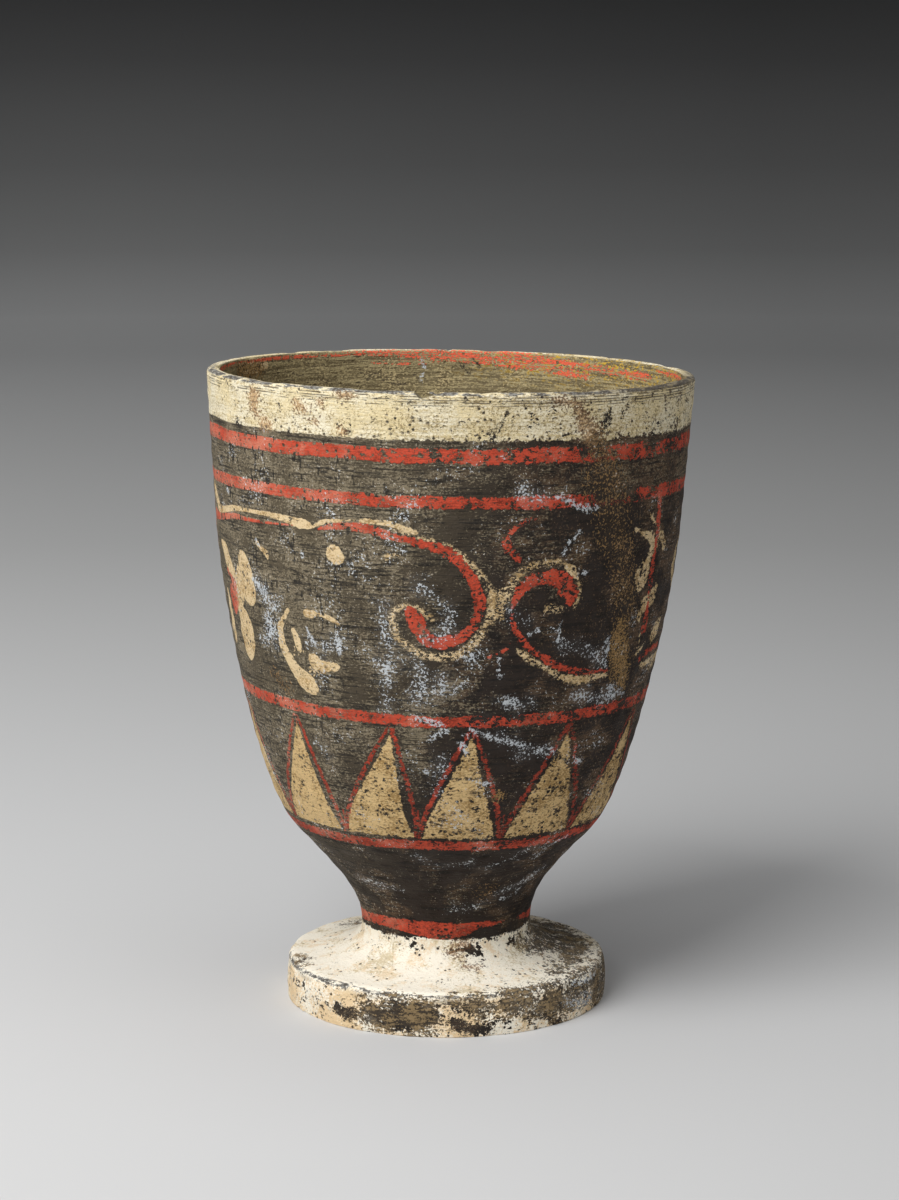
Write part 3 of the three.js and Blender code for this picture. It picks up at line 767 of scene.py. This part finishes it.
def paintGoblet(mesh, rows):
    points = np.empty(len(mesh.vertices) * 3)
    mesh.vertices.foreach_get("co", points)
    points = points.reshape(-1, 3)
    spots = placeOnForm(points, rows)
    rng = np.random.default_rng(7)
    fills, outlines = triangleStrokes(triangleRow, rng)
    layers = {name: roundTheBack(strokes, friezeBack) for name, strokes in frieze.items()}
    layers["buff"] += fills
    layers |= {"outline": outlines, **wear}
    for name, strokes in layers.items():
        way, gap = brushField(strokes, spots, rows)
        wayIn, gapIn = brushField(insideStrokes.get(name, []), spots, rows, True)
        way[spots["inside"]], gap[spots["inside"]] = wayIn[spots["inside"]], gapIn[spots["inside"]]
        storeValues(mesh, name + "Brush", way)
        storeValues(mesh, name + "Gap", gap)
    storeValues(mesh, "thrown", points)
    storeValues(mesh, "inner", spots["inside"])
    # only a chip lies away from the thrown outline; those of the sole keep their dirt
    storeValues(mesh, "scar", smoothStep(0.25, 0.5, spots["gap"]) * (spots["height"] > 2))
    return points


# The cup leans as a stiff whole, and the lean fades in between the stem and the top of the cone
def leanGoblet(mesh, points, form):
    stemHeight = form["footHeight"] + form["coveRise"]
    coneTop = stemHeight + form["throatRise"] + form["coneRise"]
    pivot = stemHeight + form["leanPivotRise"]
    angle = math.radians(form["leanDegrees"]) * smoothStep(stemHeight, coneTop, points[:, 2])
    rise = points[:, 2] - pivot
    leaned = np.stack([
        points[:, 0] * np.cos(angle) + rise * np.sin(angle),
        points[:, 1],
        pivot - points[:, 0] * np.sin(angle) + rise * np.cos(angle),
    ], 1)
    mesh.vertices.foreach_set("co", (leaned / perMetre).ravel())
    mesh.update()


potFinish = {
    "darkGround": "#281E17", "litGround": "#5C523F", "lightGround": "#897D66",
    "warmGround": "#6A5138", "blackGround": "#13100D", "paleGround": "#B9AE9A",
    "slip": "#F1E7CB", "slipShade": "#C9B587", "slipGrime": "#8C7752", "slipWarm": "#E6D2A0",
    "footSlip": "#FEF6E4", "footWarm": "#EBCFA4",
    "buff": "#E0C79C", "buffShade": "#B29363", "ochre": "#D6B782", "ochreShade": "#9A7B4B",
    "red": "#C4492F", "redDeep": "#82301F", "redDusty": "#CF8268", "redBright": "#F06A4B",
    "chalk": "#CDD2D6", "crust": "#33281D", "crustLight": "#94744A", "clod": "#A3814F",
    "grimeAndShadow": "#917B58", "grimeDark": "#40362A", "tanStain": "#BC9468", "brownStain": "#5C422F",
    "smudge": "#2B251F", "innerClay": "#A99A72", "innerShade": "#6E6145", "yellowStreak": "#CFA83C",
    "freshClay": "#77705F", "wornClayAndSheen": "#8E8C86",
    "roughness": 0.8, "roughnessSwing": 0.05, "refraction": 1.4,
    # heights in mm of what the mesh is too coarse for
    "paintFilm": 0.09, "wheelLines": 0.012, "fleckHeight": 0.012, "mottleHeight": 0.012, "dustHeight": 0.01,
    "crustHeight": 0.16, "pinholeDepth": -0.12,
}

# The two places in mm between which a wear, a colour, or a painted light or shade comes in: across to the
# right, in depth or in height
zones = {
    "litUpperLeft": (-16, -56), "rightSide": (8, 40), "wornSide": (-34, 34), "strayingSide": (-54, 34),
    "shadedMiddleRight": (-4, 24), "dustySide": (-10, -44), "yellowSide": (-6, 22),
    "dirtySide": (-24, 18), "cleanSide": (52, 36), "darkSide": (16, 40),
    "front": (14, -8),
    "upperWall": (113, 119), "throat": (46, 37), "yellowHeight": (130, 137), "onLip": (128, 130),
    "onFoot": (40, 20), "footSide": (9, 7.6), "slipEdge": (134, 129.5), "overCrest": (138.85, 138.7),
    "crestWearAndSheen": (138.25, 138.55), "darkCrest": (138.2, 138.4),
    "triangles": (72, 66), "triangleWear": (72, 60), "deepRed": (75, 40),
}

# The pot's patterns: size in mm, how far drawn out round the pot and along its height, fineness, roughness
patterns = {
    "broad": (17, 1, 1, 2, 0.5),
    "clouds": (9, 1, 1, 4, 0.6),
    "mottle": (4.2, 1, 1, 4, 0.65),
    "loss": (2.2, 1.3, 1, 4, 0.7),
    "ragged": (1.1, 1, 1, 3, 0.7),
    "drips": (0.9, 1, 3.4, 2, 0.6),
    "dust": (0.5, 1, 1, 2, 0.7),
    # the true grain is finer than a tenth of a millimetre and is drawn coarser, so that it shows
    "grain": (0.38, 1.5, 1, 2, 0.7),
    "flecks": (0.5, 2.2, 1, 3, 0.7),
    "dashes": (0.6, 5.5, 1, 3, 0.65),
    "lines": (0.5, 25, 1, 3, 0.7),
}
holeSpacing = 1.5  # mm between the pinholes of the paint


# Low-fired dark earthenware, thrown on the wheel and painted cold after firing with slip and earth colours: a
# matt, slightly grainy skin where the paint sits as a thin dry film with ragged edges, pits and rubbed places
def paintedEarthenware(finish):
    material = bpy.data.materials.new("coldPaintedEarthenware")
    material.use_nodes = True
    tree = material.node_tree
    tree.nodes.clear()

    def put(kind, sockets, **settings):
        return addNode(tree, kind, sockets, **settings)

    thrown = put("Attribute", {}, attribute_name="thrown").outputs["Vector"]
    places = put("SeparateXYZ", {0: thrown})
    across, depth, height = places.outputs
    inner = put("Attribute", {}, attribute_name="inner").outputs["Fac"]

    # every pattern is brought to one scale: 0 in its middle, over 1 in a sixth of the area, over 2 in a 40th
    middle, swing = 0.5, 1 / 16  # of the noise as it comes
    scaled = {}
    for name, (size, around, upward, fineness, roughness) in patterns.items():
        place = put("VectorMath", {0: thrown, 1: (1 / around, 1 / around, 1 / upward)}, operation="MULTIPLY")
        look = {"Scale": 1 / size, "Detail": fineness, "Roughness": roughness}
        cloud = put("TexNoise", {"Vector": place, **look})
        scaled[name] = put("Math", {0: cloud, 1: 1 / swing, 2: -middle / swing}, operation="MULTIPLY_ADD")
    broad, clouds, mottle, loss, ragged, drips, dust, grain, flecks, dashes, lines = scaled.values()
    holes = put("TexVoronoi", {"Vector": thrown, "Scale": 1 / holeSpacing})

    # a value between two ends as 0 to 1
    def ramp(value, start, end):
        return put("MapRange", {"Value": value, "From Min": start, "From Max": end})

    # 1 where a pattern is over a level, as a soft step
    def above(value, level, softness):
        return ramp(value, level - softness, level + softness)

    # a value with shares of others on top
    def raised(value, *others):
        for other, share in others:
            value = put("Math", {0: other, 1: share, 2: value}, operation="MULTIPLY_ADD")
        return value

    def less(mask, taken):
        return put("Math", {0: mask, 1: taken}, operation="SUBTRACT", use_clamp=True)

    def both(mask, *others):
        for other in others:
            mask = put("Math", {0: mask, 1: other}, operation="MULTIPLY", use_clamp=True)
        return mask

    def either(mask, *others):
        for other in others:
            mask = put("Math", {0: mask, 1: other}, operation="MAXIMUM", use_clamp=True)
        return mask

    # lays one colour over another where the mask is, at most to the given strength
    def over(below, colour, mask, strength=1):
        below, colour = (linear(finish[c]) if isinstance(c, str) else c for c in (below, colour))
        mask = mask if strength == 1 else both(mask, strength)
        return put("Mix", {"Factor": mask, "A": below, "B": colour}, data_type="RGBA")

    # distance from the edge of the nearest stroke in mm, below 0 inside it
    def brushEdge(name):
        way = put("Attribute", {}, attribute_name=name + "Brush").outputs["Vector"]
        flat = put("VectorMath", {0: way, 1: (1, 1, 0)}, operation="MULTIPLY")
        length = put("VectorMath", {0: flat}, operation="LENGTH")
        edge = put("Math", {0: length, 1: put("SeparateXYZ", {0: way}).outputs["Z"]}, operation="SUBTRACT")
        gap = put("Attribute", {}, attribute_name=name + "Gap").outputs["Fac"]
        nearly = put("Math", {0: gap, 1: 0.5}, operation="SUBTRACT")
        return put("Math", {0: edge, 1: nearly}, operation="MAXIMUM")

    # 1 inside an edge that strays by about the given amount in mm, along the wheel lines, most on the right
    wornSide = ramp(across, *zones["wornSide"])
    uneven = raised(ragged, (flecks, 0.7))
    straying = put("Math", {0: uneven, 1: ramp(across, *zones["strayingSide"])}, operation="MULTIPLY")

    def covered(edge, amount, softness):
        return ramp(raised(edge, (straying, amount)), softness, -softness)

    # specks that gather towards the middle of the strokes; the level sets how thick they lie
    def stippled(name, reach, pattern, level, softness):
        field = ramp(brushEdge(name), reach, -reach)
        return both(above(raised(pattern, (field, 4)), level + 2, softness), above(field, 0.03, 0.03))

    # bare clay: dark brown, worn pale in grains, with painted light: paler on the lit upper left and darker
    # from the middle to the right
    litUpperLeft = ramp(raised(across, (height, -0.3)), *zones["litUpperLeft"])
    rightSide = ramp(across, *zones["rightSide"])
    upperRight = both(ramp(height, *zones["upperWall"]), rightSide)
    wornAndLitGrains = raised(grain, (clouds, 0.8), (mottle, 0.5), (broad, 0.3), (litUpperLeft, 2.25))
    # painted shade: a darker ground under the bowl, on the throat
    throat = ramp(height, *zones["throat"])
    # painted shade: fewer pale grains from the middle to the right
    wornAndLitGrains = raised(wornAndLitGrains, (throat, -1.5), (upperRight, 2), (ramp(across, *zones["shadedMiddleRight"]), -0.9))
    browned = above(raised(clouds, (rightSide, 0.7), (upperRight, 1)), 1, 0.8)
    ground = over("darkGround", "warmGround", browned, 0.5)
    # painted light: a lit, paler ground on the upper left
    ground = over(ground, "litGround", litUpperLeft, 0.8)
    ground = over(ground, "lightGround", above(wornAndLitGrains, 2.1, 1.3), 0.92)
    ground = over(ground, "warmGround", both(above(raised(dust, (clouds, 0.5)), 1, 0.3), rightSide), 0.9)
    ground = over(ground, "paleGround", above(raised(dust, (clouds, 0.5), (litUpperLeft, 0.8)), 3, 0.25), 0.8)
    ground = over(ground, "blackGround", above(raised(lines, (mottle, 0.5)), 1.1, 0.4), 0.7)
    ground = over(ground, "blackGround", above(raised(dashes, (clouds, 0.6)), 1.5, 0.3), 0.7)
    ground = over(ground, "blackGround", both(above(raised(drips, (clouds, 0.5)), 2.1, 0.2), litUpperLeft), 0.8)
    # cup's inside: olive clay with turning lines and a few yellow streaks under the lip
    inside = over("innerShade", "innerClay", above(raised(lines, (grain, 0.6), (dashes, 0.7)), 0, 1.6))
    inside = over(inside, "grimeDark", above(raised(dashes, (flecks, 0.7), (clouds, 0.4)), 2, 0.3), 0.8)
    inside = over(inside, "slipShade", above(raised(grain, (clouds, 0.6)), 2.2, 0.3), 0.7)
    yellow = both(above(raised(flecks, (dashes, 0.7)), 1.3, 0.25), ramp(height, *zones["yellowHeight"]))
    inside = over(inside, "yellowStreak", both(yellow, ramp(across, *zones["yellowSide"])))
    ground = over(ground, inside, inner)

    # wear of the paint: pinholes, short breaks where it bridged the wheel lines and flakes, most on the right
    pinholes = ramp(raised(holes, (ragged, 0.04)), 0.27, 0.16)
    pinholes = both(pinholes, above(raised(mottle, (wornSide, 0.4)), -0.4, 0.1))
    flaking = raised(loss, (ragged, 0.6), (flecks, 0.7), (wornSide, 1.5))
    broken = above(raised(flecks, (grain, 0.6), (wornSide, 0.5)), 2.9, 0.15)

    # pale slip over the lip and the foot
    onFoot = ramp(height, *zones["onFoot"])
    wavyHeight = raised(height, (broad, 0.1))
    lipEdge = put("Math", {0: bands["lipSlip"], 1: wavyHeight}, operation="SUBTRACT")
    footEdge = put("Math", {0: wavyHeight, 1: bands["footSlip"]}, operation="SUBTRACT")
    nearEdge = ramp(height, *zones["slipEdge"])
    slipMask = covered(put("Math", {0: lipEdge, 1: footEdge}, operation="MINIMUM"), 0.2, 0.07)
    slipMask = less(slipMask, both(inner, ramp(height, *zones["overCrest"])))
    footSide = ramp(height, *zones["footSide"])
    clean = put("Math", {0: onFoot, 1: footSide}, operation="SUBTRACT")
    holed = above(raised(mottle, (wornSide, 0.5), (nearEdge, 0.7), (clean, -0.8)), 0.6, 0.1)
    slipHoles = both(ramp(holes, 0.24, 0.15), holed)
    slipLoss = raised(flaking, (nearEdge, 0.7), (clean, -0.9), (footSide, 0.8))
    slipMask = less(slipMask, either(slipHoles, above(slipLoss, 3.9, 0.1)))
    specks = above(raised(grain, (flecks, 0.6), (wornSide, 0.4), (clean, -1)), 2.9, 0.2)
    slipMask = less(slipMask, both(specks, 0.8))
    dirty = both(ramp(across, *zones["dirtySide"]), ramp(across, *zones["cleanSide"]))
    shaded = raised(grain, (lines, 0.7), (mottle, 0.4), (dirty, 1.5))
    slip = over("slip", "slipShade", above(shaded, 1.1, 2.2))
    slip = over(slip, "slipWarm", above(raised(clouds, (dust, 0.5)), 0.6, 1.2), 0.7)
    slip = over(slip, "slipGrime", above(raised(dust, (mottle, 0.5), (dirty, 0.6)), 2.1, 0.25), 0.7)
    footWhite = over("footSlip", "footWarm", above(raised(mottle, (dust, 0.5)), 1.4, 1.2), 0.7)
    footWhite = over(footWhite, "slipShade", above(raised(clouds, (grain, 0.6)), 1.9, 0.8), 0.7)
    footWhite = over(footWhite, "footWarm", both(footSide, above(raised(clouds, (dust, 0.6)), -0.4, 1.2)))
    slip = over(slip, footWhite, onFoot)
    colour = over(ground, slip, slipMask)

    # fine dark turned lines in the slip under the lip
    for line, half in bands["turnedLines"]:
        away = put("Math", {0: raised(height, (broad, 0.05), (-line, 1))}, operation="ABSOLUTE")
        dark = both(ramp(away, half + 0.06, half - 0.03), above(raised(dashes, (wornSide, 1)), 0.1, 0.3))
        colour = over(colour, "grimeDark", both(dark, 0.8, less(1, inner)))

    # buff strokes and triangles: first the edging that has rubbed away in dashes, then the full strokes
    buff = over("buff", "buffShade", above(raised(grain, (mottle, 0.8), (wornSide, 0.6)), 0.9, 1.5))
    ochre = over("ochre", "ochreShade", above(raised(grain, (mottle, 0.8), (wornSide, 1.3)), 1.4, 1.7))
    buff = over(buff, ochre, ramp(height, *zones["triangles"]))
    rubbed = both(covered(brushEdge("rubbedBuff"), 0.2, 0.25), above(raised(flecks, (dust, 0.7)), -0.1, 0.2))
    colour = over(colour, buff, rubbed)
    overFeet = put("Math", {0: bands["triangleFeet"], 1: height}, operation="SUBTRACT")
    buffMask = covered(put("Math", {0: brushEdge("buff"), 1: overFeet}, operation="MAXIMUM"), 0.17, 0.07)
    buffFlakes = above(raised(flaking, (ramp(height, *zones["triangleWear"]), 0.4)), 3.2, 0.12)
    buffMask = less(buffMask, either(pinholes, buffFlakes))
    buffMask = less(buffMask, both(broken, 0.9))
    colour = over(colour, buff, buffMask)

    # red bands and strokes, and the thin outlines of the triangles
    redEdge = brushEdge("red")
    for centre, width in bands["red"]:
        away = put("Math", {0: raised(wavyHeight, (-centre, 1))}, operation="ABSOLUTE")
        redEdge = put("Math", {0: redEdge, 1: raised(away, (-width / 2, 1), (inner, 9))}, operation="MINIMUM")
    notched = raised(redEdge, (both(above(drips, 1.3, 0.3), litUpperLeft), 0.7))
    redMask = covered(notched, 0.15, 0.07)
    redMask = less(redMask, both(inner, above(raised(lines, (grain, 0.8), (wornSide, 0.8)), 0.8, 0.3)))
    gone = above(raised(flecks, (clouds, 0.7)), 1, 0.15)
    outlines = both(covered(brushEdge("outline"), 0.17, 0.07), less(1, gone))
    flakes = above(flaking, 2.5, 0.12)
    redMask = less(either(redMask, outlines), either(pinholes, both(either(flakes, broken), less(1, inner))))
    deepening = raised(grain, (mottle, 0.8), (ramp(height, *zones["deepRed"]), 1.2), (outlines, 2))
    red = over("red", "redDeep", above(deepening, 1.2, 1.7))
    dusty = raised(clouds, (grain, 0.5), (ramp(across, *zones["dustySide"]), 2.4))
    red = over(red, "redDusty", above(dusty, 2.2, 1.6), 0.85)
    red = over(red, "redBright", inner)
    colour = over(colour, red, redMask)

    # places rubbed or flaked back to the clay, the worn lip and shoulder with a painted grey highlight along
    # their edges, and the scars of chips
    lost = covered(raised(brushEdge("lost"), (ragged, 0.3)), 0.3, 0.12)
    colour = over(colour, over(ground, "smudge", 0.5), lost)
    colour = over(colour, "smudge", both(covered(brushEdge("smudge"), 0.22, 0.25), above(dust, -0.9, 0.8)))
    scar = put("Attribute", {}, attribute_name="scar").outputs["Fac"]
    colour = over(colour, "freshClay", scar)
    # painted highlight: the worn grey clay also stands for the sheen along the front of the lip's crest and
    # along the foot's shoulder
    rubbedClayAndSheen = over("wornClayAndSheen", "grimeDark", above(raised(grain, (dashes, 0.8)), 0.6, 0.5), 0.8)
    front = ramp(depth, *zones["front"])
    lipWear = both(ramp(height, *zones["crestWearAndSheen"]), less(1, inner), front)
    colour = over(colour, rubbedClayAndSheen, both(lipWear, above(dashes, -0.8, 0.4)))
    darkLip = both(ramp(height, *zones["darkCrest"]), ramp(across, *zones["darkSide"]), front)
    colour = over(colour, "grimeDark", darkLip, 0.75)
    shoulderWearAndSheen = covered(brushEdge("rubbed"), 0.22, 0.2)
    shoulderWearAndSheen = both(shoulderWearAndSheen, above(raised(dashes, (dust, 0.5)), -0.5, 0.4))
    colour = over(colour, rubbedClayAndSheen, shoulderWearAndSheen)

    # brown grime with the cup's painted shadow on the foot's top, stains, crust and clods, then chalky dust
    # painted shadow: this layer also darkens the top of the foot at the right and back, where the cup's
    # shadow falls
    grimeAndShadow = over("grimeDark", "grimeAndShadow", above(raised(dashes, (grain, 0.9), (mottle, 0.5)), 0.9, 0.6))
    grimeAndShadowMask = stippled("grimeAndShadow", 2.2, raised(mottle, (dust, 0.8), (flecks, 0.6)), -0.3, 0.3)
    colour = over(colour, grimeAndShadow, grimeAndShadowMask, 0.92)
    stain = over("tanStain", "brownStain", above(raised(dust, (wornSide, 1.2)), 1.2, 0.3))
    colour = over(colour, stain, stippled("stain", 1.1, dust, 0.3, 0.5), 0.8)
    crust = over("crust", "crustLight", above(raised(dust, (clouds, 0.4)), 0.9, 0.3))
    crusty = stippled("crust", 1.8, raised(dust, (ragged, 0.7)), 0.2, 0.3)
    colour = over(colour, crust, crusty, 0.9)
    clodMask = stippled("clod", 1.2, raised(dust, (ragged, 0.6)), -0.2, 0.3)
    clod = over("clod", "crust", above(raised(grain, (mottle, 0.5)), 0.6, 0.5))
    colour = over(colour, clod, clodMask, 0.9)
    chalky = both(covered(brushEdge("chalk"), 0.3, 0.15), above(raised(dust, (flecks, 0.6)), -0.6, 0.3))
    hazy = stippled("haze", 2, raised(dust, (flecks, 0.4), (clouds, 0.5)), 2.4, 0.2)
    film = stippled("haze", 2, clouds, 0, 1.2)
    slipped = either(onFoot, ramp(height, *zones["onLip"]))
    scattered = both(above(raised(dust, (clouds, 0.9)), 3.8, 0.2), less(1, slipped))
    chalkMask = either(both(chalky, 0.9), both(film, 0.03), both(either(hazy, scattered), 0.85))
    colour = over(colour, "chalk", chalkMask)

    # relief too fine for the mesh, in mm: wheel lines, grain, crust, and the film of paint with its pits
    painted = either(slipMask, redMask, buffMask)
    bump = put("Math", {0: painted, 1: finish["paintFilm"]}, operation="MULTIPLY")
    bump = raised(bump, (lines, finish["wheelLines"]), (flecks, finish["fleckHeight"]))
    bump = raised(bump, (mottle, finish["mottleHeight"]), (dust, finish["dustHeight"]))
    bump = raised(bump, (either(crusty, clodMask), finish["crustHeight"]))
    bump = raised(bump, (either(pinholes, slipHoles), finish["pinholeDepth"]))
    normal = put("Bump", {"Height": bump, "Strength": 1, "Distance": 1 / perMetre})
    matt = raised(finish["roughness"], (mottle, finish["roughnessSwing"]))
    surface = {"Base Color": colour, "Roughness": matt, "IOR": finish["refraction"], "Normal": normal}
    shader = put("BsdfPrincipled", surface)
    put("OutputMaterial", {"Surface": shader})
    return material


def makeGoblet():
    rows = gobletRows(gobletForm)
    bm = throwGoblet(gobletForm, rows)
    print("thrown:", len(rows["run"]), "rows,", len(bm.faces), "faces")
    bm.normal_update()
    addRelief(bm, rows, relief)
    bmesh.ops.recalc_face_normals(bm, faces=bm.faces)
    mesh = bpy.data.meshes.new("paintedGoblet")
    bm.to_mesh(mesh)
    bm.free()
    goblet = bpy.data.objects.new("paintedGoblet", mesh)
    chipGoblet(goblet, makeFlakes(gobletForm, chips))
    print("chipped:", len(goblet.data.vertices), "vertices")
    points = paintGoblet(goblet.data, rows)
    print("painted")
    leanGoblet(goblet.data, points, gobletForm)
    goblet.data.shade_smooth()
    goblet.data.set_sharp_from_angle(angle=math.radians(38))
    goblet.data.materials.clear()
    goblet.data.materials.append(paintedEarthenware(potFinish))
    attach(goblet, "root")
    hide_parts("goblet")
    return goblet


makeGoblet()
print("goblet ready")

studio = {
    # the round sweep: flat floor, then a wall that curves up, with its greys by distance from the goblet
    # (mm), which paint the light's fall: paler far out on the floor where the lamps fall off, and a painted
    # shade that darkens up the wall
    "floorRadius": 1700, "sweepRadius": 900, "wallTop": 2600,
    "paintedFalloffGreys": [
        (0, "#D1D1D1"), (700, "#C5C5C4"), (1350, "#CFCFCE"),
        (1900, "#D3D3D2"), (2150, "#A0A09F"), (2450, "#4E4E4E"),
    ],
    # the tone falls off a little to the right, away from the key light: X in mm and the share of the tone
    "falloff": ((-300, 1.1), (300, 0.79)),
    "world": "#CCCED1", "worldStrength": 0.37,
    # softboxes: azimuth and elevation as seen from the goblet, distance and size in mm, power in watts
    "lights": [
        {"name": "keySoftbox", "azimuth": -40, "elevation": 44, "distance": 1100, "size": 700, "power": 12.8},
        {"name": "sideSoftbox", "azimuth": -95, "elevation": 20, "distance": 1300, "size": 900, "power": 0.6},
        {"name": "fillSoftbox", "azimuth": 60, "elevation": 20, "distance": 1500, "size": 1200, "power": 3.1},
        {"name": "topSoftbox", "azimuth": -20, "elevation": 82, "distance": 1400, "size": 1500, "power": 6.2},
    ],
    "lightsAim": (0, 0, 70),
    "cameraPlace": (0.8, -652.1, 198.1), "cameraPitch": 9.55,
    "focalPixels": 3018.9, "framePixels": (899, 1200), "sensor": 36,
}


def makeSweep(values):
    flat, radius, top = values["floorRadius"], values["sweepRadius"], values["wallTop"]
    curve = bend(at(flat, 0), at(flat + radius, 0), at(flat + radius, radius))[9::10]
    line = [at(0, 0), at(300, 0), at(flat, 0), *curve, at(flat + radius, top)]
    bm = bmesh.new()
    verts = [bm.verts.new(point / perMetre) for point in line]
    edges = [bm.edges.new(pair) for pair in zip(verts[:-1], verts[1:])]
    turn = {"cent": (0, 0, 0), "axis": (0, 0, 1), "angle": 2 * math.pi}
    bmesh.ops.spin(bm, geom=verts + edges, **turn, steps=96, use_merge=True)
    bmesh.ops.remove_doubles(bm, verts=bm.verts, dist=1e-5)
    bmesh.ops.recalc_face_normals(bm, faces=bm.faces)
    mesh = bpy.data.meshes.new("studioSweep")
    bm.to_mesh(mesh)
    bm.free()
    mesh.shade_smooth()
    sweep = bpy.data.objects.new("studioSweep", mesh)
    bpy.context.scene.collection.objects.link(sweep)
    material = bpy.data.materials.new("paintedPlasterSweep")
    material.use_nodes = True
    tree = material.node_tree
    tree.nodes.clear()
    place = addNode(tree, "TexCoord", {}).outputs["Object"]
    # painted light and shade: greys by distance from the goblet, and a darkening to the right away from the
    # key light
    distance = addNode(tree, "VectorMath", {0: place}, operation="LENGTH")
    share = addNode(tree, "Math", {0: distance, 1: perMetre / values["paintedFalloffGreys"][-1][0]}, operation="MULTIPLY")
    grey = addNode(tree, "ValToRGB", {"Fac": share})
    stops = grey.color_ramp.elements
    while len(stops) < len(values["paintedFalloffGreys"]):
        stops.new(0.5)
    for stop, (away, tone) in zip(stops, values["paintedFalloffGreys"]):
        stop.position = away / values["paintedFalloffGreys"][-1][0]
        stop.color = linear(tone)
    across = addNode(tree, "SeparateXYZ", {0: place}).outputs["X"]
    (near, lit), (far, dim) = values["falloff"]
    ends = {"From Min": near / perMetre, "From Max": far / perMetre, "To Min": lit, "To Max": dim}
    falloff = addNode(tree, "MapRange", {"Value": across, **ends})
    tone = addNode(tree, "VectorMath", {0: grey, 1: falloff}, operation="MULTIPLY")
    shader = addNode(tree, "BsdfPrincipled", {"Base Color": tone, "Roughness": 0.9})
    addNode(tree, "OutputMaterial", {"Surface": shader})
    mesh.materials.append(material)


def makeLights(values):
    world = bpy.data.worlds.new("studioLight")
    world.use_nodes = True
    background = world.node_tree.nodes["Background"]
    background.inputs["Color"].default_value = linear(values["world"])
    background.inputs["Strength"].default_value = values["worldStrength"]
    bpy.context.scene.world = world
    target = Vector(values["lightsAim"]) / perMetre
    for box in values["lights"]:
        light = bpy.data.lights.new(box["name"], "AREA")
        light.size = box["size"] / perMetre
        light.energy = box["power"]
        holder = bpy.data.objects.new(box["name"], light)
        azimuth, elevation = math.radians(box["azimuth"]), math.radians(box["elevation"])
        level = math.cos(elevation)
        way = Vector((math.sin(azimuth) * level, -math.cos(azimuth) * level, math.sin(elevation)))
        holder.location = target + way * box["distance"] / perMetre
        holder.rotation_euler = way.to_track_quat("Z", "Y").to_euler()
        bpy.context.scene.collection.objects.link(holder)


def makeCamera(values):
    camera = bpy.data.cameras.new("camera")
    camera.sensor_width = values["sensor"]
    camera.lens = values["sensor"] * values["focalPixels"] / max(values["framePixels"])
    camera.clip_start, camera.clip_end = 0.01, 20
    holder = bpy.data.objects.new("camera", camera)
    holder.location = Vector(values["cameraPlace"]) / perMetre
    holder.rotation_euler = (math.radians(90 - values["cameraPitch"]), 0, 0)
    bpy.context.scene.collection.objects.link(holder)
    bpy.context.scene.camera = holder


makeSweep(studio)
makeLights(studio)
makeCamera(studio)
bpy.context.scene.view_settings.view_transform = "Standard"
print("studio ready")
